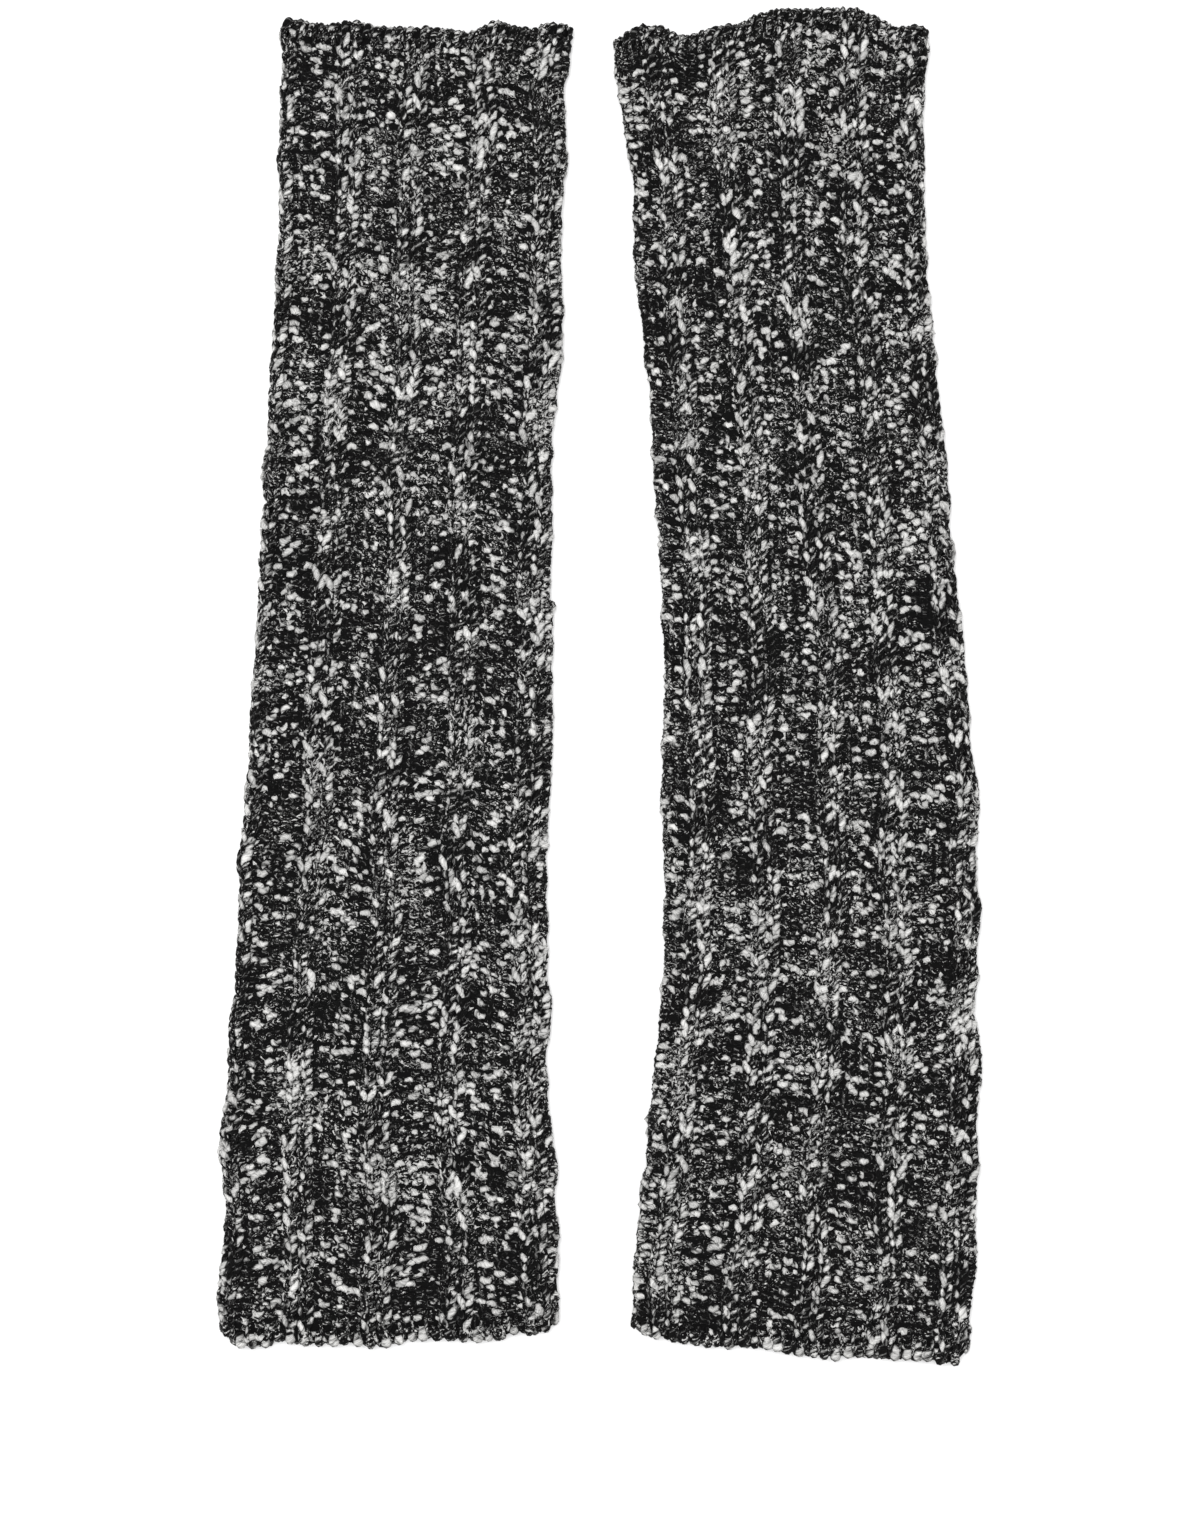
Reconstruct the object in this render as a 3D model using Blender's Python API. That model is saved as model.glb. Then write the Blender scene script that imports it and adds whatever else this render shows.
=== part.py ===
"""A pair of long knitted arm warmers, laid flat side by side on a level surface.

Each warmer is one tube, knitted in the round in a chunky rib of two plain and
four purl stitches, with a firm row of edging worked on at the wrist end and at
the upper-arm end.  Pressed flat, the tube is two layers of cloth that lie on
each other and join in a soft fold down each side.

Frame: metres, +Z up, underside at Z = 0.  +Y points to the wrist ends and +X
to the right.  The origin is the middle of the pair's base.
"""

import math
from collections import namedtuple

import bmesh
import bpy
import numpy as np

MM = 0.001

# ---- Driving dimensions ------------------------------------------------------
WALL = 3.5 * MM             # thickness of one layer of the rib
HOLLOW = 0.8 * MM           # space left between the two layers
RIB_RISE = 0.9 * MM         # how far a plain rib stands above the purl ground
EDGE_ROW = 6.0 * MM         # height of the edging row at each end
SEAM_GAP = 0.3 * MM         # clearance between the edging and the tube
WRIST_END = 251.4 * MM      # Y of the wrist end's mean line
EDGE_EASE = 45.0 * MM       # the waves of an end die out over this length
EDGE_LIFT = 0.3             # share of a wave's reach that also lifts the top layer

# ---- Stitches ----------------------------------------------------------------
RIB_REPEAT = 6              # columns in one repeat, two plain and four purl
RIB_REACH = 2.0             # columns from a rib's middle to the purl ground

# ---- Mesh steps --------------------------------------------------------------
TOP_STEPS = 44
FOLD_STEPS = 4
BASE_STEPS = 8

FOLD_RADIUS = (2 * WALL + HOLLOW) / 2
HOLLOW_RADIUS = HOLLOW / 2

# ---- Outlines, in millimetres ------------------------------------------------
# A section crosses a warmer `along` from the wrist end's mean line, and its
# cloth reaches from `left` to `right` of the pair's centre line.
Section = namedtuple("Section", "along left right")

# An edge point lies at `across`, from 0 at the left fold to 1 at the right one,
# and `reach` beyond that end's mean line.
EdgePoint = namedtuple("EdgePoint", "across reach")

# How far the outermost point of a fold stays behind the edging beside it, at
# each of the four rounded corners.
Corners = namedtuple("Corners", "wrist_left wrist_right arm_left arm_right")

# Columns of stitches between the two folds, the column of the first rib's
# middle, and the columns that the ribs lean to the right towards the wrist.
Ribs = namedtuple("Ribs", "face_columns first lean")

Warmer = namedtuple("Warmer", "name sections wrist_edge arm_edge corners ribs")

LEFT = Warmer(
    name="left",
    sections=(
        Section(0, -122, -10),
        Section(17, -121.5, -11),
        Section(25, -121, -13.5),
        Section(50, -122.5, -12),
        Section(69, -122, -14),
        Section(92, -123, -14),
        Section(117, -124.5, -13.5),
        Section(141, -126, -15.5),
        Section(157, -127, -17.5),
        Section(185, -129, -17.5),
        Section(215, -130, -18),
        Section(233, -130.5, -17),
        Section(263, -133, -18),
        Section(287, -134, -18),
        Section(312, -137, -20),
        Section(361, -138.5, -19.5),
        Section(374, -140.5, -17.5),
        Section(391, -141, -19.5),
        Section(408, -142, -19),
        Section(421, -145, -17.5),
        Section(440, -143.5, -16),
        Section(449, -142.5, -16.5),
        Section(456, -143, -14.5),
        Section(478, -145.5, -16),
        Section(490, -145.5, -15),
        Section(499, -144.5, -15.5),
    ),
    wrist_edge=(
        EdgePoint(0.0, 3.5),
        EdgePoint(0.08, 1),
        EdgePoint(0.14, 0.5),
        EdgePoint(0.25, 2),
        EdgePoint(0.31, -0.5),
        EdgePoint(0.56, -1),
        EdgePoint(0.66, -2.5),
        EdgePoint(0.75, 2),
        EdgePoint(0.79, 1),
        EdgePoint(0.88, -1.5),
        EdgePoint(0.95, 1.5),
        EdgePoint(1.0, 0.5),
    ),
    arm_edge=(
        EdgePoint(0.0, 1.5),
        EdgePoint(0.06, 3),
        EdgePoint(0.12, 2.5),
        EdgePoint(0.16, -0.5),
        EdgePoint(0.22, 2),
        EdgePoint(0.41, 1.5),
        EdgePoint(0.46, 3),
        EdgePoint(0.59, -0.5),
        EdgePoint(0.71, 0),
        EdgePoint(0.85, 0),
        EdgePoint(0.89, -3),
        EdgePoint(0.93, -3),
        EdgePoint(0.97, -1.5),
        EdgePoint(1.0, -3.5),
    ),
    corners=Corners(wrist_left=4.5, wrist_right=1, arm_left=5, arm_right=2.5),
    ribs=Ribs(face_columns=24.45, first=-0.6, lean=0),
)

RIGHT = Warmer(
    name="right",
    sections=(
        Section(0, 5, 126),
        Section(14, 5, 124.5),
        Section(32, 7.5, 123),
        Section(45, 9, 123),
        Section(51, 11.5, 123.5),
        Section(63, 12.5, 123.5),
        Section(76, 12, 124),
        Section(93, 12.5, 124.5),
        Section(112, 15.5, 126),
        Section(130, 16, 128),
        Section(136, 18.5, 128.5),
        Section(155, 19.5, 131),
        Section(171, 20, 131.5),
        Section(187, 21.5, 133.5),
        Section(220, 23, 136.5),
        Section(233, 23, 138.5),
        Section(258, 24, 140),
        Section(275, 23, 141),
        Section(288, 23, 144),
        Section(324, 24, 142.5),
        Section(336, 24, 145),
        Section(355, 24, 143.5),
        Section(374, 22.5, 143),
        Section(394, 20, 145.5),
        Section(416, 18, 143.5),
        Section(440, 15.5, 143),
        Section(464, 13, 143),
        Section(482, 11.5, 141),
        Section(501, 11.5, 140),
    ),
    wrist_edge=(
        EdgePoint(0.0, -4),
        EdgePoint(0.06, 0),
        EdgePoint(0.13, 0),
        EdgePoint(0.21, -4.5),
        EdgePoint(0.26, -3),
        EdgePoint(0.33, 0.5),
        EdgePoint(0.39, 0.5),
        EdgePoint(0.45, 4),
        EdgePoint(0.51, 6),
        EdgePoint(0.76, 6.5),
        EdgePoint(0.82, 5),
        EdgePoint(0.92, -1),
        EdgePoint(0.98, 0.5),
        EdgePoint(1.0, -0.5),
    ),
    arm_edge=(
        EdgePoint(0.0, -6.5),
        EdgePoint(0.03, -4),
        EdgePoint(0.12, -1.5),
        EdgePoint(0.21, 0),
        EdgePoint(0.41, 1),
        EdgePoint(0.48, 3.5),
        EdgePoint(0.61, 5),
        EdgePoint(0.68, 4),
        EdgePoint(0.94, 6),
        EdgePoint(0.97, 8.5),
        EdgePoint(1.0, 7),
    ),
    corners=Corners(wrist_left=1.5, wrist_right=1, arm_left=0.5, arm_right=4),
    ribs=Ribs(face_columns=26.9, first=2.5, lean=0.9),
)

# ---- Materials ---------------------------------------------------------------
Finish = namedtuple("Finish", "colour roughness")
RIB_YARN = Finish((0.115, 0.113, 0.112), 0.95)
EDGE_YARN = Finish((0.085, 0.084, 0.083), 0.95)


def outline_at(warmer, along):
    """Return the X of the left and right outlines, `along` from the wrist end."""
    stations = [row.along * MM for row in warmer.sections]
    left = np.interp(along, stations, [row.left * MM for row in warmer.sections])
    right = np.interp(along, stations, [row.right * MM for row in warmer.sections])
    return left, right


def edge_reach(edge, across):
    """Return how far an end reaches beyond its mean line at `across`."""
    return np.interp(across, [p.across for p in edge], [p.reach * MM for p in edge])


def corner_drops(corners, aside):
    """Return how far both ends stay back at a place round a fold.

    `aside` runs from -1 at the outermost point of the left fold, through 0 on
    either layer, to 1 at the outermost point of the right fold.
    """
    if aside < 0.0:
        return corners.wrist_left * MM * aside ** 2, corners.arm_left * MM * aside ** 2
    return corners.wrist_right * MM * aside ** 2, corners.arm_right * MM * aside ** 2


def end_waves(warmer, along, across, aside):
    """Return the outward reach that both ends give a point of the cloth."""
    from_end = warmer.sections[-1].along * MM - along
    wrist_drop, arm_drop = corner_drops(warmer.corners, aside)
    wrist_wave = edge_reach(warmer.wrist_edge, across) * max(0.0, 1.0 - along / EDGE_EASE)
    arm_wave = edge_reach(warmer.arm_edge, across) * max(0.0, 1.0 - from_end / EDGE_EASE)
    wrist_wave -= wrist_drop * max(0.0, 1.0 - along / EDGE_ROW)
    arm_wave -= arm_drop * max(0.0, 1.0 - from_end / EDGE_ROW)
    return wrist_wave, arm_wave


def rib_height(warmer, along, across):
    """Return the relief of the ribs on the top layer."""
    length = warmer.sections[-1].along * MM
    lean = warmer.ribs.lean * (0.5 - along / length)
    column = across * warmer.ribs.face_columns - warmer.ribs.first - lean
    from_middle = abs(column - RIB_REPEAT * round(column / RIB_REPEAT))
    if from_middle >= RIB_REACH:
        return 0.0
    return RIB_RISE * 0.5 * (1.0 + math.cos(math.pi * from_middle / RIB_REACH))


def ring(warmer, along, radius, relief):
    """Return one closed loop of points round the flattened tube.

    The loop keeps `radius` from the line between the middles of the two folds.
    """
    left, right = outline_at(warmer, along)
    fold_left = left + FOLD_RADIUS
    fold_right = right - FOLD_RADIUS

    def place(across, side_step, height, on_top):
        wrist_wave, arm_wave = end_waves(warmer, along, across, side_step / radius)
        x = fold_left + across * (fold_right - fold_left) + side_step
        y = WRIST_END - along + wrist_wave - arm_wave
        z = FOLD_RADIUS + height
        if on_top:
            z += EDGE_LIFT * max(0.0, wrist_wave + arm_wave)
            z += relief * rib_height(warmer, along, across)
        return (x, y, z)

    points = []
    for step in range(TOP_STEPS + 1):
        points.append(place(step / TOP_STEPS, 0.0, radius, True))
    for step in range(1, FOLD_STEPS):
        turn = math.pi * step / FOLD_STEPS
        points.append(place(1.0, radius * math.sin(turn), radius * math.cos(turn), False))
    for step in range(BASE_STEPS + 1):
        points.append(place(1.0 - step / BASE_STEPS, 0.0, -radius, False))
    for step in range(1, FOLD_STEPS):
        turn = math.pi * step / FOLD_STEPS
        points.append(place(0.0, -radius * math.sin(turn), -radius * math.cos(turn), False))
    return points


def tube_object(name, warmer, stations, finish, collection):
    """Loft a hollow tube of cloth through the given stations."""
    mesh_builder = bmesh.new()
    outer = []
    inner = []
    for along in stations:
        for loops, radius, relief in ((outer, FOLD_RADIUS, 1.0), (inner, HOLLOW_RADIUS, 0.0)):
            points = ring(warmer, along, radius, relief)
            loops.append([mesh_builder.verts.new(point) for point in points])

    count = len(outer[0])
    for row in range(len(stations) - 1):
        for i in range(count):
            j = (i + 1) % count
            mesh_builder.faces.new((outer[row][i], outer[row][j], outer[row + 1][j], outer[row + 1][i]))
            mesh_builder.faces.new((inner[row][j], inner[row][i], inner[row + 1][i], inner[row + 1][j]))
    for i in range(count):
        j = (i + 1) % count
        mesh_builder.faces.new((outer[0][j], outer[0][i], inner[0][i], inner[0][j]))
        mesh_builder.faces.new((outer[-1][i], outer[-1][j], inner[-1][j], inner[-1][i]))
    bmesh.ops.recalc_face_normals(mesh_builder, faces=mesh_builder.faces[:])

    mesh = bpy.data.meshes.new(name)
    mesh_builder.to_mesh(mesh)
    mesh_builder.free()
    mesh.shade_smooth()
    mesh.set_sharp_from_angle(angle=math.radians(50))
    mesh.materials.append(yarn_material(name, finish))
    piece = bpy.data.objects.new(name, mesh)
    collection.objects.link(piece)
    return piece


def yarn_material(name, finish):
    """Return a matt woollen material in the marl's mean colour."""
    material = bpy.data.materials.new(name + "_yarn")
    material.use_nodes = True
    shader = material.node_tree.nodes["Principled BSDF"]
    shader.inputs["Base Color"].default_value = (*finish.colour, 1.0)
    shader.inputs["Roughness"].default_value = finish.roughness
    shader.inputs["Metallic"].default_value = 0.0
    return material


def build_warmer(warmer, collection):
    """Build one warmer: its ribbed tube and the edging row at each end."""
    length = warmer.sections[-1].along * MM
    tube_start = EDGE_ROW + SEAM_GAP
    tube_end = length - EDGE_ROW - SEAM_GAP
    between = [row.along * MM for row in warmer.sections[1:-1]]
    stations = [tube_start] + between + [tube_end]
    tube_object(warmer.name + "_tube", warmer, stations, RIB_YARN, collection)
    tube_object(warmer.name + "_wrist_edge", warmer, [0.0, EDGE_ROW], EDGE_YARN, collection)
    tube_object(warmer.name + "_arm_edge", warmer, [length - EDGE_ROW, length], EDGE_YARN, collection)


def main():
    for thing in list(bpy.data.objects):
        bpy.data.objects.remove(thing, do_unlink=True)
    collection = bpy.data.collections.new("knitted_arm_warmers")
    bpy.context.scene.collection.children.link(collection)
    for warmer in (LEFT, RIGHT):
        build_warmer(warmer, collection)


main()
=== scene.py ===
"""Looks of a pair of knitted arm warmers, laid flat and seen from straight above.

Every stitch is a loop of real yarn.  A course of loops runs right round each
flattened tube, in a rib of two plain and four purl stitches, and the yarn is a
thick-and-thin marl: a charcoal thread twisted with an off-white roving that
swells into slubs, thins to specks and vanishes.  Under the loops lies a thin
dark shell, the ground of the cloth, which stands for the tube's CAD solid.

A wale is a column of stitches along the tube, and a course is a row round it.
"""

import math
from collections import namedtuple

import bpy
import numpy as np
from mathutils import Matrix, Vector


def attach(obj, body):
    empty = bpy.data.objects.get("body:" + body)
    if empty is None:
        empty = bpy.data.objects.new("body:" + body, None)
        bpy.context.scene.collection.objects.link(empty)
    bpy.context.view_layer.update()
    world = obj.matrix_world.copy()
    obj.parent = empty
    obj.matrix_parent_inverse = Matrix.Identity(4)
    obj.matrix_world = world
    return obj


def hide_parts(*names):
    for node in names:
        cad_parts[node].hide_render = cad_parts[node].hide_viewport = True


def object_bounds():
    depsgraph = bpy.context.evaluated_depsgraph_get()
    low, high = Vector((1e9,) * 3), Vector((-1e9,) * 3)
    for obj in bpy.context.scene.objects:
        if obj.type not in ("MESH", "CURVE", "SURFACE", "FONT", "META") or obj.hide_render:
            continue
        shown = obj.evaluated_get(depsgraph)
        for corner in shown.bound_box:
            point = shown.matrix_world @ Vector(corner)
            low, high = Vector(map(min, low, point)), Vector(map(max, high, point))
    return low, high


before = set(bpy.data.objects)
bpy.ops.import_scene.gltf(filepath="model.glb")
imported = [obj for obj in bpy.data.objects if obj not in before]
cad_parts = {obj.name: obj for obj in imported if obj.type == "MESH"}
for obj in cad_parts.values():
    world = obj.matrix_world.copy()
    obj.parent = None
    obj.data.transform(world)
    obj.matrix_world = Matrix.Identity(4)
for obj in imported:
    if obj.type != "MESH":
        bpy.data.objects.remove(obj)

CAD_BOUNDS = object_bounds()
MM = 0.001
TURN = 2.0 * math.pi

# ---- The pair ----------------------------------------------------------------
# How one warmer is knitted: the wales across its face, the wale of its first
# rib's middle, and the wales that the ribs lean to the right towards the wrist.
Knit = namedtuple("Knit", "side face_wales first_rib lean seed")
WARMERS = (
    Knit(side="left", face_wales=24.45, first_rib=-0.6, lean=0.0, seed=11),
    Knit(side="right", face_wales=26.9, first_rib=2.5, lean=0.9, seed=47),
)
PILL_SIDE = "left"          # the warmer with a small pill on its right fold
PILL_Y = 29.5 * MM          # how far it hangs from the middle of the pair, towards the wrist

# ---- The tube, as the CAD has it ---------------------------------------------
FOLD_RADIUS = 3.9 * MM      # half the height of the flattened tube
MIDDLE_RADIUS = 1.9 * MM    # the same, to the middle of a layer's thickness
EDGE_ROW = 6.0 * MM         # height of the edging at each end
EDGE_EASE = 45.0 * MM       # the waves of an end die out over this length
EDGE_LIFT = 0.3             # share of a wave's reach that lifts the top layer
TOP_LAYER = 1.9             # the top layer lies above this many fold radii
FOLD_NEAR = 0.02 * MM       # how near half its height the outline's vertices lie
SAMPLES = 240               # places where an outline is measured
SAMPLE_INSET = 0.05 * MM    # how far inside an end's width the first of them is
FOLD_WINDOW = 3             # samples on each side that smooth a fold
END_WINDOW = 2              # and an end

# ---- The cloth on it ---------------------------------------------------------
WALES = 54                  # wales all round: two faces and two folds
COURSES = 128
FOLD_WALES = 1.4            # wales that go round each fold
FOLD_FLATTENING = 0.85      # share of a loop's depth that is lost there
FOLD_REACH = 0.5 * MM       # how much further the yarn bulges out at a fold
FOLD_FULLNESS = 0.22        # share by which the yarn is fuller there
RIB_REPEAT = 6              # two plain wales, then four purl ones
RIB_RISE = 0.9 * MM         # how far a plain rib stands up on the top layer
RIB_CHANGE = 0.32           # wales over which plain turns to purl
PLAIN_WIDENING = 0.16       # share by which a plain wale is wider than the mean
FURROW_DEPTH = 0.6 * MM     # how far the cloth sinks along both sides of a rib
FURROW_PLACE = 1.35         # wales from the rib's middle to the furrow
FURROW_WIDTH = 0.3          # wales from the furrow's middle to its shoulder
OUTLINE_BUMPS = 0.5 * MM    # typical size of the small bumps of the side folds
BUMP_REACH = 9.0 * MM       # length of one of them
DRIFT_ALONG = 0.5           # how far the cloth has drifted along the tube, in courses
DRIFT_ROUND = 0.22          # and round it, in wales
DRIFT_RISE = 0.3 * MM       # and up, on the top layer
DRIFT_EASE = 8.0            # courses at each end over which it dies out
DRIFT_WAVES = 5             # waves that add up to one drift
DRIFT_TURNS = 5             # most times that a wave goes up and down round the tube
DRIFT_SLOPE = 9.0           # and along it
DRIFT_SCALE = 0.6           # brings their sum to about unit size

# ---- The stitches ------------------------------------------------------------
LOOP_HEIGHT = 0.88          # half a loop's height, in courses
LOOP_WAIST = 0.30           # how far its legs draw together at the foot, in wales
LOOP_DEPTH = 0.95 * MM      # how far it stands before and behind the ground
YARN_RADIUS = 0.95 * MM
YARN_LEAN = 0.85            # share of that which the yarn has between slubs
YARN_PINCH = 0.24           # share by which the yarn thins where it dives, and swells in front
SLUB_SWELL = 0.5            # share by which a full slub thickens the yarn
STITCH_YARN = 17.5          # length of yarn in one stitch, mm

# How much the stitches differ: the spread of a loop's height, waist and depth,
# as shares, and of its place in wales, in courses and up.
UNEVEN_HEIGHT = 0.08
UNEVEN_WAIST = 0.16
UNEVEN_DEPTH = 0.16
UNEVEN_WALE = 0.05
UNEVEN_COURSE = 0.18
UNEVEN_LIFT = 0.18 * MM
PLAIN_FIRMNESS = 0.5        # share of this unevenness that a plain stitch lacks

# ---- The edging --------------------------------------------------------------
EDGING_REACH = 2.6 * MM     # how far it stands out of the middle of the cloth
EDGING_FLATTENING = 0.7     # share of that which is lost at a fold
EDGING_THINNING = 0.2       # share by which its strands are thinner there
STRAND_YARN = 31.0          # length of yarn from one strand to the next, mm
STRAND_JITTER = 0.12        # most that a strand is out of place, in wales
STRAND_SLANTS = 0.4         # spread of the strands' slants, as a share
STRAND_HEIGHTS = 0.06       # and of their heights
STRAND_GIRTHS = 0.06        # and of their radii
STRAND_ROVINGS = (-0.9, 1.1)  # least and most roving at a strand's tip
STRAND_BULGE = 0.35         # share of a strand's girth that it lacks at its two feet
STRAND_SWELL = 0.2          # share by which white yarn thickens it
STRAND_BLUNTNESS = 0.8      # power that makes its tip blunt

# One kind of strand: its radius, its first `place` and its `slant` in wales, the
# share of the yarn's `white` that shows and of the `roving` at its tip, how
# `tall` it is as a share of the row, how many courses `inside` the row it
# starts, and its mesh's steps and sides.
Strand = namedtuple("Strand", "thick place slant white roving tall inside steps sides")
EDGINGS = {
    "arm": {
        "knots": Strand(1.85 * MM, 0.0, 0.1, 0.85, 1.0, 1.0, 0.0, 10, 7),
        "threads": Strand(0.9 * MM, 0.5, 0.6, 0.6, 0.0, 0.75, 0.7, 6, 4),
    },
    "wrist": {
        "knots": Strand(1.35 * MM, 0.0, 0.6, 0.3, 0.0, 1.0, 0.0, 10, 7),
        "threads": Strand(0.9 * MM, 0.5, 1.3, 0.6, 0.0, 1.0, 0.7, 6, 4),
    },
}

# ---- The ground --------------------------------------------------------------
GROUND_ROWS = 44            # rows of faces along the shell
GROUND_HALF = 0.45 * MM     # half its thickness
GROUND_INSET = 1.6 * MM     # how far it stays inside the ends

# ---- Mesh steps --------------------------------------------------------------
FACE_STEPS, FACE_SIDES = 10, 5      # per stitch on the faces that show
UNDER_STEPS, UNDER_SIDES = 5, 3     # per stitch on the underside
CLOSER = 0.6                        # how much closer the steps are where yarn is in front
STRIPS = 3                          # pieces that the upper face is split into
CELL_ASPECT = 2.7                   # length by width of a stitch's yarn on the bake map
CELL_MARGIN = 0.04                  # share of a bake cell that is left free on each side

# ---- Slubs along the yarn ----------------------------------------------------
MARL_STEP = 0.5             # mm between the places where the marl is stated
SLUB_LENGTH = 5.0           # middling length of a slub, mm
SLUB_SPREAD = 0.5           # spread of the logarithm of its length
SLUB_LIMITS = (2.2, 20.0)   # shortest and longest slub, mm
SLUB_GAP = 13.5             # mean length of yarn between slubs, mm
NEP_SHARE = 0.07            # share of the slubs that are fat round neps
NEP_LENGTHS = (3.2, 5.5)    # shortest and longest nep, mm
NEP_FULLNESS = (1.15, 1.45)  # and how white and thick it is, with 1 for a full slub
SLUB_FULLNESS = (0.4, 1.0)  # the same for other slubs, before the power that favours full ones
FULLNESS_POWER = 0.7
SHOULDER_POWER = 0.6        # makes a slub swell early and taper late
PATCH_REACH = 2.2           # size of a light or dark patch, in courses and wales
BROAD_REACH, BROAD_SHARE = 3.0 * PATCH_REACH, 0.35      # size and weight of the broad patches
PATCH_CROWDING = 0.3        # how much closer together the slubs are in a light patch
SPECK_MEAN, SPECK_SPREAD, SPECK_PATCHES = 0.4, 0.2, 0.08
TONE_MEAN, TONE_SPREAD = 0.5, 0.25
TONE_REACH = 14.0           # length over which the roving's tone changes, mm
LEG_LIGHT = 0.35            # how much of the roving the legs of plain stitches pull to the front

# ---- Yarn colours and twist --------------------------------------------------
BLACK = (0.0028, 0.0028, 0.0028)
CHARCOAL = (0.013, 0.013, 0.0126)
OFF_WHITE = (0.67, 0.665, 0.65)
GREY = (0.18, 0.179, 0.176)
PLY_PITCH = 3.4             # length of one twist of the plies, mm
FIBRE_STRETCH = 0.35        # how much closer fibres look along the yarn than they are

# A thread wound round the yarn: its hand, 1 one way round and -1 the other, its
# pitch in mm, and as shares of the pitch how far it wanders and half its width.
Thread = namedtuple("Thread", "hand pitch wander half_width")
WHITE_THREAD = Thread(hand=1.0, pitch=2.3, wander=2.6, half_width=0.14)
BLACK_BINDER = Thread(hand=-1.0, pitch=2.9, wander=1.5, half_width=0.05)
THREAD_EDGE = 0.06          # softness of a thread's edge, as a share of the pitch

# The noise or share at which a look starts, and at which it is full.
ROVING_SHOWS = (-0.10, 0.24)
BINDER_SHOWS = (-0.1, 0.1)
# painted shade down the yarn's sides: how far round from its outward face it starts, and where it is full
SIDE_SHADE_SHOWS = (0.11, 0.27)
WHITE_SHOWS = (0.16, 0.26)
LIGHT_STREAKS = (0.36, 0.62)
DARK_STREAKS = (0.45, 0.8)
GROUND_SPECKS = (0.6, 0.72)
BINDER_STRENGTH, SIDE_SHADE_STRENGTH = 0.75, 0.85     # shares of the roving that the binder and the painted side shade hide

# ---- Camera, floor and light -------------------------------------------------
LENS, SENSOR = 100.0, 36.0  # mm
VIEW_HEIGHT = 1.1275        # height of the picture, by the pair's length
VIEW_DROP = 0.0564          # how far its middle lies below the pair's, by that length
CLIP_END = 20.0
FLOOR_SIDE = 8.0
FLOOR_DROP = 0.3 * MM       # how far the floor lies below the warmers
FLOOR_SHADES = (0.86, 0.9)  # darkest and lightest grey of the floor
KEY_PLACE, KEY_SIZE, KEY_POWER = (-0.15, 0.15, 2.0), 1.1, 36.0
WORLD_LIGHT = 0.85


# ==== Shape of the flattened tube =============================================

def node_points(names):
    """Return the vertices of some CAD nodes."""
    return np.concatenate([
        np.array([vertex.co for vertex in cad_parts[name].data.vertices]) for name in names])


def top_edges(name):
    """Return the two ends of every mesh edge on the upper layer of a CAD node."""
    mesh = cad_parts[name].data
    points = np.array([vertex.co for vertex in mesh.vertices])
    pairs = np.array([edge.vertices for edge in mesh.edges])
    on_top = (points[pairs, 2] > TOP_LAYER * FOLD_RADIUS).all(axis=1)
    return points[pairs[on_top, 0]], points[pairs[on_top, 1]]


def smooth(values, reach):
    """Return values averaged over a short window, with the ends held."""
    window = np.hanning(2 * reach + 3)[1:-1]
    padded = np.pad(values, reach, mode="edge")
    return np.convolve(padded, window / window.sum(), mode="valid")


def plain_share(rib):
    """Return 1 where the rib is plain and 0 where it is purl."""
    return 0.5 + 0.5 * rib


class Drift:
    """Slow noise of about unit size over the cloth, the same where the tube closes."""

    def __init__(self, rng):
        self.waves = []
        for _ in range(DRIFT_WAVES):
            times_round = rng.integers(1, DRIFT_TURNS + 1)
            times_along = rng.uniform(-DRIFT_SLOPE, DRIFT_SLOPE)
            self.waves.append((times_round, times_along, rng.uniform(0.0, TURN)))

    def at(self, wale, course):
        """Return the noise at these wales and courses."""
        return DRIFT_SCALE * sum(
            np.sin(TURN * (times_round * wale / WALES + times_along * course / COURSES) + phase)
            for times_round, times_along, phase in self.waves)


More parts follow.
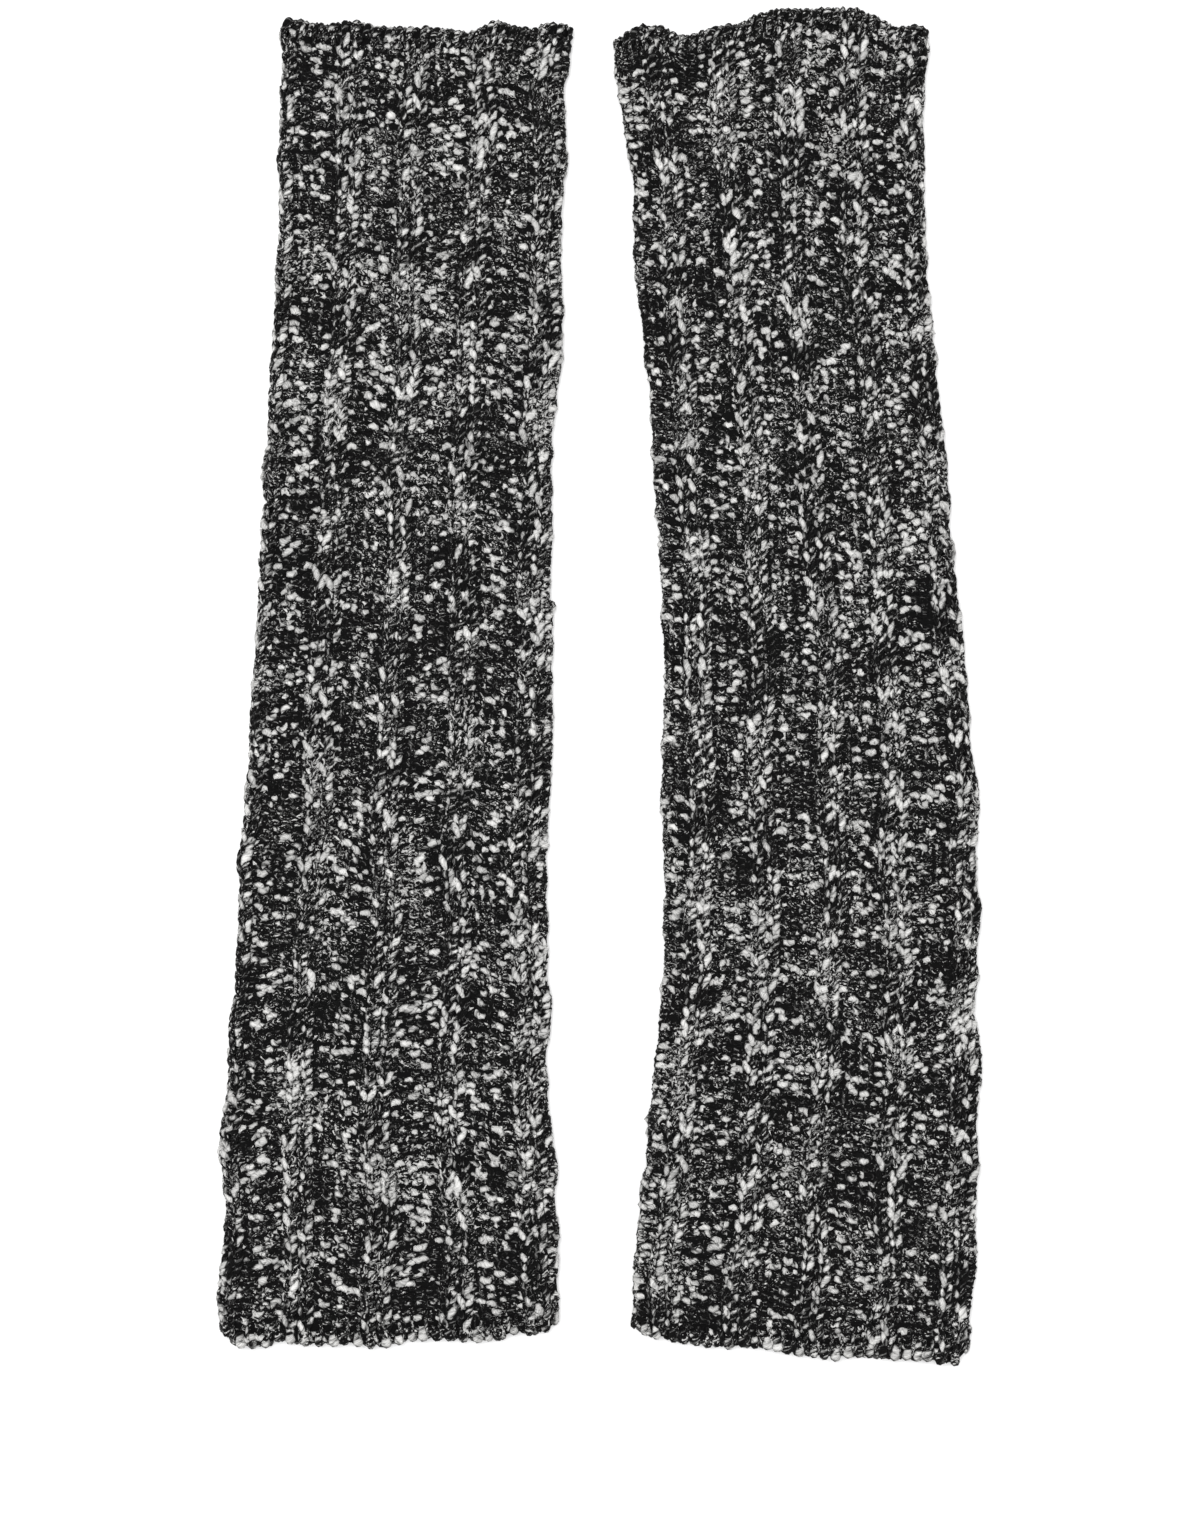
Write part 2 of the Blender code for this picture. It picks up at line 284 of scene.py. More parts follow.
class Sleeve:
    """The flattened tube of one warmer, measured from its CAD nodes.

    A point of the cloth is given by its wale round the tube, its course along
    it, and its height out of the middle of the cloth.
    """

    def __init__(self, knit, rng):
        self.side = knit.side
        self.face_wales = knit.face_wales
        self.first_wale = knit.first_rib - 1.0
        self.lean = knit.lean
        tube, wrist_edge, arm_edge = (
            f"{knit.side}_{part}" for part in ("tube", "wrist_edge", "arm_edge"))
        self.measure_folds([tube, wrist_edge, arm_edge], rng)
        self.across = np.linspace(0.0, 1.0, SAMPLES)
        arm_line = self.measure_end(arm_edge, -1.0)
        wrist_line = self.measure_end(wrist_edge, 1.0)
        self.arm_y = float(np.median(arm_line))
        self.wrist_y = float(np.median(wrist_line))
        self.arm_wave = arm_line - self.arm_y
        self.wrist_wave = wrist_line - self.wrist_y
        self.length = self.wrist_y - self.arm_y
        self.course_height = (self.length - 2.0 * EDGE_ROW) / COURSES
        self.arm_drops = self.measure_drops(arm_edge, -1.0, arm_line)
        self.wrist_drops = self.measure_drops(wrist_edge, 1.0, wrist_line)
        self.drifts = [Drift(rng) for _ in range(3)]

    def measure_folds(self, names, rng):
        """Find where the two folds run: the outermost points at half the tube's height."""
        points = node_points(names)
        at_fold = points[np.abs(points[:, 2] - FOLD_RADIUS) < FOLD_NEAR]
        middle = at_fold[:, 0].mean()
        self.ys = np.linspace(at_fold[:, 1].min(), at_fold[:, 1].max(), SAMPLES)
        lines = []
        for sign in (-1.0, 1.0):
            side = at_fold[(at_fold[:, 0] - middle) * sign > 0.0]
            order = np.lexsort((-side[:, 0] * sign, side[:, 1].round(5)))
            side = side[order]
            outermost = np.concatenate([[True], np.diff(side[:, 1].round(5)) > 0.0])
            line = np.interp(self.ys, side[outermost, 1], side[outermost, 0])
            knots = np.arange(self.ys[0], self.ys[-1] + BUMP_REACH, BUMP_REACH / 2.0)
            bumps = np.interp(self.ys, knots, rng.normal(size=len(knots)) * OUTLINE_BUMPS)
            lines.append(smooth(line, FOLD_WINDOW) + bumps)
        self.left, self.right = lines

    def measure_end(self, name, sign):
        """Return the Y of an end at each place across the upper layer."""
        starts, ends = top_edges(name)
        width = np.ptp(starts[:, 0]) - 2.0 * SAMPLE_INSET
        line = []
        for place in starts[:, 0].min() + SAMPLE_INSET + self.across * width:
            crosses = (starts[:, 0] - place) * (ends[:, 0] - place) < 0.0
            first, last = starts[crosses], ends[crosses]
            share = (place - first[:, 0]) / (last[:, 0] - first[:, 0])
            reach = (first[:, 1] + share * (last[:, 1] - first[:, 1])) * sign
            line.append(reach.max() * sign)
        return smooth(np.array(line), END_WINDOW)

    def measure_drops(self, name, sign, line):
        """Return how far the left and right folds stay behind this end: its rounded corners."""
        points = node_points([name])
        at_fold = points[np.abs(points[:, 2] - FOLD_RADIUS) < FOLD_NEAR]
        on_right = at_fold[:, 0] > at_fold[:, 0].mean()
        left_reach = (at_fold[~on_right, 1] * sign).max()
        right_reach = (at_fold[on_right, 1] * sign).max()
        return line[0] * sign - left_reach, line[-1] * sign - right_reach

    def place(self, wale, course, height):
        """Return the points at these wales, courses and heights, and the outward normals there."""
        wale, course, height = np.broadcast_arrays(wale, course, height)
        inside = np.clip(np.minimum(course, COURSES - course) / DRIFT_EASE, 0.0, 1.0)
        drift_along, drift_round, drift_up = (drift.at(wale, course) * inside for drift in self.drifts)
        course = course + DRIFT_ALONG * drift_along
        lean = self.lean * (course / COURSES - 0.5) + DRIFT_ROUND * drift_round
        across, angle = self.round_tube(wale, lean)
        aside, up = np.cos(angle), np.sin(angle)
        y, wave_lift = self.along_tube(course, across, aside)

        fold_left = np.interp(y, self.ys, self.left) + FOLD_RADIUS
        fold_right = np.interp(y, self.ys, self.right) - FOLD_RADIUS
        reach = MIDDLE_RADIUS + height
        x = fold_left + across * (fold_right - fold_left) + (reach + FOLD_REACH) * aside
        lift = EDGE_LIFT * np.maximum(wave_lift, 0.0) + DRIFT_RISE * drift_up
        z = FOLD_RADIUS + reach * up + np.clip(up, 0.0, 1.0) * lift
        normal = np.stack([aside, np.zeros_like(angle), up], axis=-1)
        return np.stack([x, y, z], axis=-1), normal

    def round_tube(self, wale, lean):
        """Return the share of the way across, and the angle of the outward normal."""
        from_rib = self.from_rib(wale)
        widened = np.clip(from_rib, -1.0, 1.0) * PLAIN_WIDENING
        purl_reach = RIB_REPEAT / 2 - 1.0
        into_purl = np.clip(np.abs(from_rib) - 1.0, 0.0, purl_reach) / purl_reach
        widened = widened - np.sign(from_rib) * into_purl * PLAIN_WIDENING
        wale = np.mod(wale + widened + lean, WALES)
        over_fold = np.clip((wale - self.face_wales) / FOLD_WALES, 0.0, 1.0)
        under_wales = WALES - self.face_wales - 2.0 * FOLD_WALES
        back = np.clip((wale - self.face_wales - FOLD_WALES) / under_wales, 0.0, 1.0)
        last_fold = np.clip((wale - WALES + FOLD_WALES) / FOLD_WALES, 0.0, 1.0)
        across = np.clip(wale / self.face_wales, 0.0, 1.0) - back
        return across, math.pi * (0.5 - over_fold - last_fold)

    def along_tube(self, course, across, aside):
        """Return the Y of these courses, with the waves and corners of the ends, and their lift."""
        from_arm = course * self.course_height + EDGE_ROW
        from_wrist = self.length - from_arm
        arm_wave = np.interp(across, self.across, self.arm_wave)
        arm_wave = arm_wave * np.clip(1.0 - from_arm / EDGE_EASE, 0.0, 1.0)
        wrist_wave = np.interp(across, self.across, self.wrist_wave)
        wrist_wave = wrist_wave * np.clip(1.0 - from_wrist / EDGE_EASE, 0.0, 1.0)
        arm_drop, wrist_drop = (
            np.where(aside < 0.0, *drops) * aside ** 2 for drops in (self.arm_drops, self.wrist_drops))
        y = self.arm_y + from_arm + arm_wave + wrist_wave
        y = y + arm_drop * np.clip(1.0 - from_arm / EDGE_ROW, 0.0, 1.0)
        y = y - wrist_drop * np.clip(1.0 - from_wrist / EDGE_ROW, 0.0, 1.0)
        return y, wrist_wave - arm_wave

    def from_rib(self, wale):
        """Return how many wales lie between these and the nearest rib's middle."""
        return np.mod(wale - self.first_wale - 1.0 + RIB_REPEAT / 2, RIB_REPEAT) - RIB_REPEAT / 2

    def rib(self, wale):
        """Return 1 on the plain wales and -1 on the purl ones, with a short change between."""
        share = np.clip((1.0 - np.abs(self.from_rib(wale))) / RIB_CHANGE, -1.0, 1.0)
        return np.sin(0.5 * math.pi * share)


# ==== Yarn ====================================================================

class Marl:
    """Thickness and colour of one long yarn, along its length in millimetres."""

    def __init__(self, length, rng):
        self.count = int(length / MARL_STEP) + 2
        self.at = np.arange(self.count) * MARL_STEP
        patches = self.patches(rng, PATCH_REACH) + BROAD_SHARE * self.patches(rng, BROAD_REACH)
        self.white = self.slubs(length, patches, rng)
        specks = SPECK_MEAN + SPECK_SPREAD * self.patches(rng, PATCH_REACH) + SPECK_PATCHES * patches
        self.speck = np.clip(specks, 0.0, 1.0)
        self.tone = np.clip(TONE_MEAN + TONE_SPREAD * self.wander(rng, TONE_REACH), 0.0, 1.0)

    def slubs(self, length, patches, rng):
        """Return how white the yarn is: slubs and neps, closer together in light patches."""
        white = np.zeros(self.count)
        start = 0.0
        while start < length:
            patch = patches[min(int(start / MARL_STEP), self.count - 1)]
            start += rng.exponential(SLUB_GAP * math.exp(-PATCH_CROWDING * patch))
            size = float(np.clip(rng.lognormal(math.log(SLUB_LENGTH), SLUB_SPREAD), *SLUB_LIMITS))
            strength = rng.uniform(*SLUB_FULLNESS) ** FULLNESS_POWER
            if rng.random() < NEP_SHARE:
                size, strength = rng.uniform(*NEP_LENGTHS), rng.uniform(*NEP_FULLNESS)
            first = int(start / MARL_STEP)
            last = min(first + max(3, int(size / MARL_STEP)), self.count)
            if first >= self.count - 3:
                break
            swell = np.sin(np.linspace(0.0, math.pi, last - first)) ** SHOULDER_POWER
            white[first:last] = np.maximum(white[first:last], strength * swell)
            start += size
        return white

    def patches(self, rng, reach):
        """Return noise of unit size that is alike for neighbours in the cloth.

        `reach` is in courses across the rows, and in wales along them.
        """
        rows = int(COURSES / reach) + 2
        columns = round(WALES / reach)
        knots = rng.normal(size=(rows, columns))
        place = self.at / STITCH_YARN
        row = np.floor(place / WALES) / reach
        column = np.mod(place, WALES) / WALES * columns
        low_row, low_column = row.astype(int), column.astype(int)
        row_share, column_share = row - low_row, column - low_column
        low_row = np.minimum(low_row, rows - 2)
        low_column = low_column % columns
        high_column = (low_column + 1) % columns

        def in_row(number):
            """Return the noise between two knots of this row."""
            return (knots[number, low_column] * (1.0 - column_share)
                    + knots[number, high_column] * column_share)

        unit_size = 1.5
        return (in_row(low_row) * (1.0 - row_share) + in_row(low_row + 1) * row_share) * unit_size

    def wander(self, rng, reach):
        """Return smooth noise of unit size that changes over `reach` millimetres."""
        knots = max(4, int(self.count * MARL_STEP / reach) + 2)
        places = np.linspace(0, knots - 1, self.count)
        return np.interp(places, np.arange(knots), rng.normal(size=knots))

    def read(self, along):
        """Return the white, speck and tone shares at these places."""
        return [np.interp(along, self.at, values) for values in (self.white, self.speck, self.tone)]


def at_stitches(knots, wale):
    """Read values given at each stitch smoothly, at these wales of every course."""
    low = np.floor(wale).astype(int)
    share = wale - low
    share = share * share * (3.0 - 2.0 * share)
    return knots[:, low % WALES] * (1.0 - share) + knots[:, (low + 1) % WALES] * share


def loop_path(sleeve, rng, steps):
    """Return the wale, course and height of the yarn's line through every course.

    The points lie closest where the yarn is in front: on the legs of a plain
    stitch, and on the head and the foot of a purl one.
    """
    step = np.arange(WALES * steps) / steps
    side = sleeve.rib(sleeve.first_wale + step)
    turn = step + CLOSER * side * np.sin(2.0 * TURN * step) / (2.0 * TURN)
    rows = np.arange(COURSES)[:, None] + 0.5
    firm = PLAIN_FIRMNESS * plain_share(sleeve.rib(sleeve.first_wale + turn))

    def uneven(size):
        """Return noise for every stitch, weaker on the firmer plain ones."""
        return at_stitches(rng.normal(size=(COURSES, WALES)) * size, turn) * (1.0 - firm)

    height = LOOP_HEIGHT * (1.0 + uneven(UNEVEN_HEIGHT))
    waist = LOOP_WAIST * (1.0 + uneven(UNEVEN_WAIST))
    depth = LOOP_DEPTH * (1.0 + uneven(UNEVEN_DEPTH))
    wale = sleeve.first_wale + turn + waist * np.sin(2.0 * TURN * turn) + uneven(UNEVEN_WALE)
    course = rows - height * np.cos(TURN * turn) + uneven(UNEVEN_COURSE)
    front = -sleeve.rib(sleeve.first_wale + turn) * np.cos(2.0 * TURN * turn)
    lift = front * depth + uneven(UNEVEN_LIFT)
    return wale, course, lift, front, turn


def tube_rings(centre, tangent, normal, radius, sides):
    """Return rings of points round some lines, with one corner of each ring facing out."""
    tangent = tangent / np.linalg.norm(tangent, axis=-1, keepdims=True)
    sideways = np.cross(tangent, normal)
    sideways /= np.linalg.norm(sideways, axis=-1, keepdims=True)
    outward = np.cross(sideways, tangent)
    angle = TURN * np.arange(sides) / sides + math.pi / 2.0
    ring = (np.cos(angle)[:, None] * sideways[..., None, :]
            + np.sin(angle)[:, None] * outward[..., None, :])
    return centre[..., None, :] + radius[..., None, None] * ring


def on_the_ground(rings):
    """Return rings of points with none below the surface that the warmers lie on."""
    rings[..., 2] = np.maximum(rings[..., 2], 0.0)
    return rings


def lengths_along(centre):
    """Return the running length of each line of points, in millimetres."""
    steps = np.linalg.norm(np.diff(centre, axis=1), axis=-1) / MM
    start = np.zeros((len(centre), 1))
    return np.concatenate([start, np.cumsum(steps, axis=1)], axis=1)


# ==== Yarn as meshes ==========================================================

def tube_faces(yarns, points, sides):
    """Return the corners of the quads and of the end caps of some tubes."""
    index = np.arange(yarns * points * sides).reshape(yarns, points, sides)
    beside = np.roll(index, -1, axis=2)
    quads = np.stack([index[:, :-1], index[:, 1:], beside[:, 1:], beside[:, :-1]], axis=-1)
    caps = np.concatenate([index[:, 0, :], index[:, -1, ::-1]])
    return quads.reshape(-1, 4), caps


def yarn_map(along, sides):
    """Return where each corner is on its yarn: length along it, and turn round it."""
    yarns, points = along.shape
    low = np.broadcast_to(along[:, :-1, None], (yarns, points - 1, sides))
    high = np.broadcast_to(along[:, 1:, None], low.shape)
    here = np.broadcast_to(np.arange(sides) / sides, low.shape)
    there = here + 1.0 / sides
    quads = np.stack([np.stack([low, high, high, low], -1), np.stack([here, here, there, there], -1)], -1)
    cap_along = np.concatenate([np.repeat(along[:, 0], sides), np.repeat(along[:, -1], sides)])
    cap_turn = np.tile(np.arange(sides) / sides, 2 * yarns)
    return np.concatenate([quads.reshape(-1, 2), np.stack([cap_along, cap_turn], -1)])


def bake_map(yarns, points, sides, cell_steps):
    """Return the bake map: one square cell for each short stretch of yarn."""
    segment = np.arange(points - 1)
    side = np.arange(sides)
    cells_per_yarn = math.ceil((points - 1) / cell_steps)
    columns = math.ceil(math.sqrt(yarns * cells_per_yarn / CELL_ASPECT))
    rows = math.ceil(yarns * cells_per_yarn / columns)
    cell = np.arange(yarns)[:, None] * cells_per_yarn + (segment // cell_steps)[None, :]
    column = (cell % columns)[..., None]
    row = (cell // columns)[..., None]
    fill = 1.0 - 2.0 * CELL_MARGIN
    along_cell = ((segment % cell_steps) / cell_steps)[None, :, None]
    u_low = (column + CELL_MARGIN + fill * along_cell) / columns
    u_high = u_low + fill / cell_steps / columns
    v_low = (row + CELL_MARGIN + fill * side / sides) / rows
    v_high = v_low + fill / sides / rows
    u_low, u_high, v_low, v_high = np.broadcast_arrays(u_low, u_high, v_low, v_high)
    quads = np.stack([np.stack([u_low, u_high, u_high, u_low], -1),
                      np.stack([v_low, v_low, v_high, v_high], -1)], -1)
    start_caps = np.stack([u_low[:, 0], v_low[:, 0]], -1)
    end_caps = np.stack([u_high[:, -1], v_low[:, -1]], -1)
    return np.concatenate([part.reshape(-1, 2) for part in (quads, start_caps, end_caps)])


def write_map(mesh, name, values):
    """Write a UV map with one pair of values for each corner."""
    layer = mesh.uv_layers.new(name=name, do_init=False)
    layer.uv.foreach_set("vector", values.astype(np.float32).ravel())


def yarn_mesh(name, rings, along, shares, cell_steps):
    """Build capped tubes of yarn.

    rings has the shape (yarns, points, sides, 3); along is each point's length
    on its yarn in millimetres; shares holds the white, speck and tone shares.
    cell_steps segments share one square cell of the bake map.
    """
    yarns, points, sides, _ = rings.shape
    quads, caps = tube_faces(yarns, points, sides)
    corners = np.concatenate([quads.ravel(), caps.ravel()])
    totals = np.concatenate([np.full(len(quads), 4), np.full(len(caps), sides)])
    starts = np.concatenate([[0], np.cumsum(totals)[:-1]])

    mesh = bpy.data.meshes.new(name)
    mesh.vertices.add(yarns * points * sides)
    mesh.vertices.foreach_set("co", rings.astype(np.float32).ravel())
    mesh.loops.add(len(corners))
    mesh.loops.foreach_set("vertex_index", corners.astype(np.int32))
    mesh.polygons.add(len(totals))
    mesh.polygons.foreach_set("loop_start", starts.astype(np.int32))
    mesh.update(calc_edges=True)
    mesh.shade_smooth()
    write_map(mesh, "Yarn", yarn_map(along, sides))
    write_map(mesh, "OFBake", bake_map(yarns, points, sides, cell_steps))
    mesh.uv_layers.active = mesh.uv_layers["OFBake"]

    white, speck, tone = (np.repeat(share.ravel(), sides) for share in shares)
    colours = np.stack([white, speck, tone, np.ones_like(white)], -1)
    layer = mesh.color_attributes.new("marl", "FLOAT_COLOR", "POINT")
    layer.data.foreach_set("color", colours.astype(np.float32).ravel())
    return mesh


def add_piece(name, mesh, material):
    """Put a mesh in the scene as a piece that rides on the part."""
    mesh.materials.append(material)
    piece = bpy.data.objects.new(name, mesh)
    bpy.context.scene.collection.objects.link(piece)
    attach(piece, "root")
    return piece


# ==== Knitting ================================================================

def raise_loops(sleeve, wale, course, lift):
    """Return the loops' heights with the ribs, the furrows and the folds, and the folds' share."""
    normal = sleeve.place(wale, course, 0.0)[1]
    upper = np.clip(normal[..., 2], 0.0, 1.0)
    rib = RIB_RISE * plain_share(sleeve.rib(wale))
    furrow = np.exp(-((np.abs(sleeve.from_rib(wale)) - FURROW_PLACE) / FURROW_WIDTH) ** 2)
    lift = lift + (rib - FURROW_DEPTH * furrow) * upper
    # Round a fold the loops are drawn flat, so the outline is soft.
    at_fold = np.abs(normal[..., 0])
    return lift * (1.0 - FOLD_FLATTENING * at_fold), at_fold


def pull_roving(white, tone, plain, front):
    """Return the white share with the roving that light plain stitches pull to the front."""
    steepness, threshold = 3.0, 1.3
    light = np.clip(steepness * tone - threshold, 0.0, 1.0)
    pulled = plain * np.clip(front, 0.0, 1.0) * light
    return white + LEG_LIGHT * pulled * (1.0 - np.clip(white, 0.0, 1.0))


def knit_rows(sleeve, rng, marl, steps, sides, first, wide):
    """Lay the loops of every course, from wale `first` over `wide` wales."""
    wale, course, lift, front, turn = loop_path(sleeve, rng, steps)
    plain = plain_share(sleeve.rib(wale))
    lift, at_fold = raise_loops(sleeve, wale, course, lift)
    centre, normal = sleeve.place(wale, course, lift)
    tangent = np.roll(centre, -1, axis=1) - np.roll(centre, 1, axis=1)

    start = round((first - sleeve.first_wale) * steps)
    rounds, window = np.divmod(start + np.arange(wide * steps + 1), WALES * steps)
    centre, tangent, normal, at_fold, plain = (
        values[:, window] for values in (centre, tangent, normal, at_fold, plain))
    front = front[window]
    along = (turn[window] + (rounds + np.arange(COURSES)[:, None]) * WALES) * STITCH_YARN
    white, speck, tone = marl.read(along)
    white = pull_roving(white, tone, plain, front)
    pinch = YARN_PINCH * front * (1.0 - FOLD_FLATTENING * at_fold)
    radius = YARN_RADIUS * (YARN_LEAN + pinch + SLUB_SWELL * white ** 2 + FOLD_FULLNESS * at_fold)
    # A thicker stretch stands out by half of what it gains.
    centre = centre + normal * (0.5 * (radius - YARN_RADIUS))[..., None]
    rings = on_the_ground(tube_rings(centre, tangent, normal, radius, sides))
    return rings, along, [white, speck, tone]


def build_knit(sleeve, seed, material):
    """Build the loops of the upper face with its folds, in strips, and of the underside."""
    marl = Marl(COURSES * WALES * STITCH_YARN, np.random.default_rng(seed))
    side_join = sleeve.first_wale - 0.5 * round(2.0 * (sleeve.first_wale + FOLD_WALES))
    upper_wales = round(sleeve.face_wales + 2.0 * FOLD_WALES)
    cuts = np.linspace(0, upper_wales, STRIPS + 1).round().astype(int)
    layouts = [(f"knit_{strip + 1}", cuts[strip], cuts[strip + 1] - cuts[strip], FACE_STEPS, FACE_SIDES)
               for strip in range(STRIPS)]
    layouts.append(("knit_under", upper_wales, WALES - upper_wales, UNDER_STEPS, UNDER_SIDES))
    pieces = []
    for label, first, wide, steps, sides in layouts:
        # Each strip has the same noise, so that its loops meet those beside it.
        rng = np.random.default_rng(seed + 1)
        rings, along, shares = knit_rows(sleeve, rng, marl, steps, sides, side_join + first, wide)
        name = f"{sleeve.side}_{label}"
        mesh = yarn_mesh(name, rings, along, shares, steps)
        pieces.append(add_piece(name, mesh, material))
    return pieces


def build_ground(sleeve, material):
    """Build the thin closed shell that lies in the middle of the cloth."""
    inset = (EDGE_ROW - GROUND_INSET) / (sleeve.length - 2.0 * EDGE_ROW) * COURSES
    course = np.linspace(-inset, COURSES + inset, GROUND_ROWS + 1)[:, None]
    wale = np.arange(WALES)[None, :]
    outer = sleeve.place(wale, course, GROUND_HALF)[0]
    inner = sleeve.place(wale, course, -GROUND_HALF)[0]
    points = np.concatenate([outer, inner]).reshape(-1, 3)
    index = np.arange(len(points)).reshape(2, GROUND_ROWS + 1, WALES)
    beside = np.roll(index, -1, axis=2)
    outside = np.stack([index[0, :-1], beside[0, :-1], beside[0, 1:], index[0, 1:]], -1)
    inside = np.stack([index[1, :-1], index[1, 1:], beside[1, 1:], beside[1, :-1]], -1)
    arm_lip = np.stack([index[0, 0], index[1, 0], beside[1, 0], beside[0, 0]], -1)
    wrist_lip = np.stack([index[0, -1], beside[0, -1], beside[1, -1], index[1, -1]], -1)
    faces = np.concatenate([part.reshape(-1, 4) for part in (outside, inside, arm_lip, wrist_lip)])
    name = f"{sleeve.side}_ground"
    mesh = bpy.data.meshes.new(name)
    mesh.from_pydata(points.tolist(), [], faces.tolist())
    mesh.shade_smooth()
    piece = add_piece(name, mesh, material)
    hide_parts(f"{sleeve.side}_tube")
    return piece


# ==== Edgings and pill ========================================================

def strand_path(sleeve, strand, at_arm, over, turn, own, rng):
    """Return the lines of an end's strands, their normals, and how near a fold they are."""
    first = np.arange(WALES) + strand.place + rng.uniform(-STRAND_JITTER, STRAND_JITTER, WALES)
    wale = first[:, None] + strand.slant * (turn - 0.5) * (1.0 + STRAND_SLANTS * own[0])
    at_fold = np.abs(sleeve.place(wale, 0.0 if at_arm else COURSES, 0.0)[1][..., 0])
    height = np.cos(math.pi * turn) * (EDGING_REACH - strand.thick) * (1.0 - EDGING_FLATTENING * at_fold)
    tall = strand.tall * (EDGE_ROW - strand.thick) / sleeve.course_height * (1.0 + STRAND_HEIGHTS * own[1])
    off = over ** STRAND_BLUNTNESS * (tall + strand.inside) - strand.inside
    centre, normal = sleeve.place(wale, -off if at_arm else COURSES + off, height)
    return centre, normal, at_fold


def build_edging(sleeve, end, kind, seed, material):
    """Build one kind of strand that wraps one end of the tube, a strand to each wale."""
    rng = np.random.default_rng(seed)
    strand = EDGINGS[end][kind]
    # Each strand comes over the end from the upper face of the cloth to its back.
    turn = np.linspace(0.0, 1.0, strand.steps + 1)[None, :]
    over = np.sin(math.pi * turn)
    own = rng.normal(size=(3, WALES, 1))
    centre, normal, at_fold = strand_path(sleeve, strand, end == "arm", over, turn, own, rng)

    along = lengths_along(centre) + np.arange(WALES)[:, None] * STRAND_YARN
    white, speck, tone = Marl((WALES + 1) * STRAND_YARN, rng).read(along)
    roving = rng.uniform(*STRAND_ROVINGS, (WALES, 1)) * over * strand.roving
    white = np.clip(np.maximum(white * strand.white, roving), 0.0, 1.0)
    bulge = 1.0 - STRAND_BULGE + STRAND_BULGE * over
    swell = bulge + STRAND_GIRTHS * own[2] + STRAND_SWELL * white ** 2
    radius = strand.thick * swell * (1.0 - EDGING_THINNING * at_fold)
    tangent = np.gradient(centre, axis=1)
    rings = on_the_ground(tube_rings(centre, tangent, normal, radius, strand.sides))
    name = f"{sleeve.side}_{end}_{kind}"
    mesh = yarn_mesh(name, rings, along, [white, speck, tone], strand.steps)
    piece = add_piece(name, mesh, material)
    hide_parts(f"{sleeve.side}_{end}_edge")
    return piece


def build_pill(sleeve, y, material):
    """Build the small lump of felted roving that hangs on the right fold at `y`."""
    steps, sides = 12, 8
    length, reach, thick = 5.2 * MM, 1.9 * MM, 1.25 * MM
    end_reach, end_girth = 0.4, 0.35    # shares of its reach and its girth at its two ends
    lumps, lump_height = 3.0, 0.15
    white_up_to, whitest, speck, tone = 0.6, 1.2, 0.5, 0.6
    fold_middle = sleeve.face_wales + FOLD_WALES / 2.0
    turn = np.linspace(0.0, 1.0, steps + 1)[None, :]
    swell = np.sin(math.pi * turn)
    course = (y - sleeve.arm_y - EDGE_ROW + length * (turn - 0.5)) / sleeve.course_height
    height = reach * (end_reach + (1.0 - end_reach) * swell)
    centre, normal = sleeve.place(fold_middle, course, height)
    along = lengths_along(centre)
    white = np.clip(3.0 * (white_up_to - turn), 0.0, whitest)
    shares = [white, np.full_like(turn, speck), np.full_like(turn, tone)]
    girth = end_girth + (1.0 - end_girth) * swell
    radius = thick * girth * (1.0 + lump_height * np.sin(lumps * TURN * turn))
    rings = tube_rings(centre, np.gradient(centre, axis=1), normal, radius, sides)
    name = f"{sleeve.side}_pill"
    return add_piece(name, yarn_mesh(name, rings, along, shares, steps), material)


# ==== Materials ===============================================================

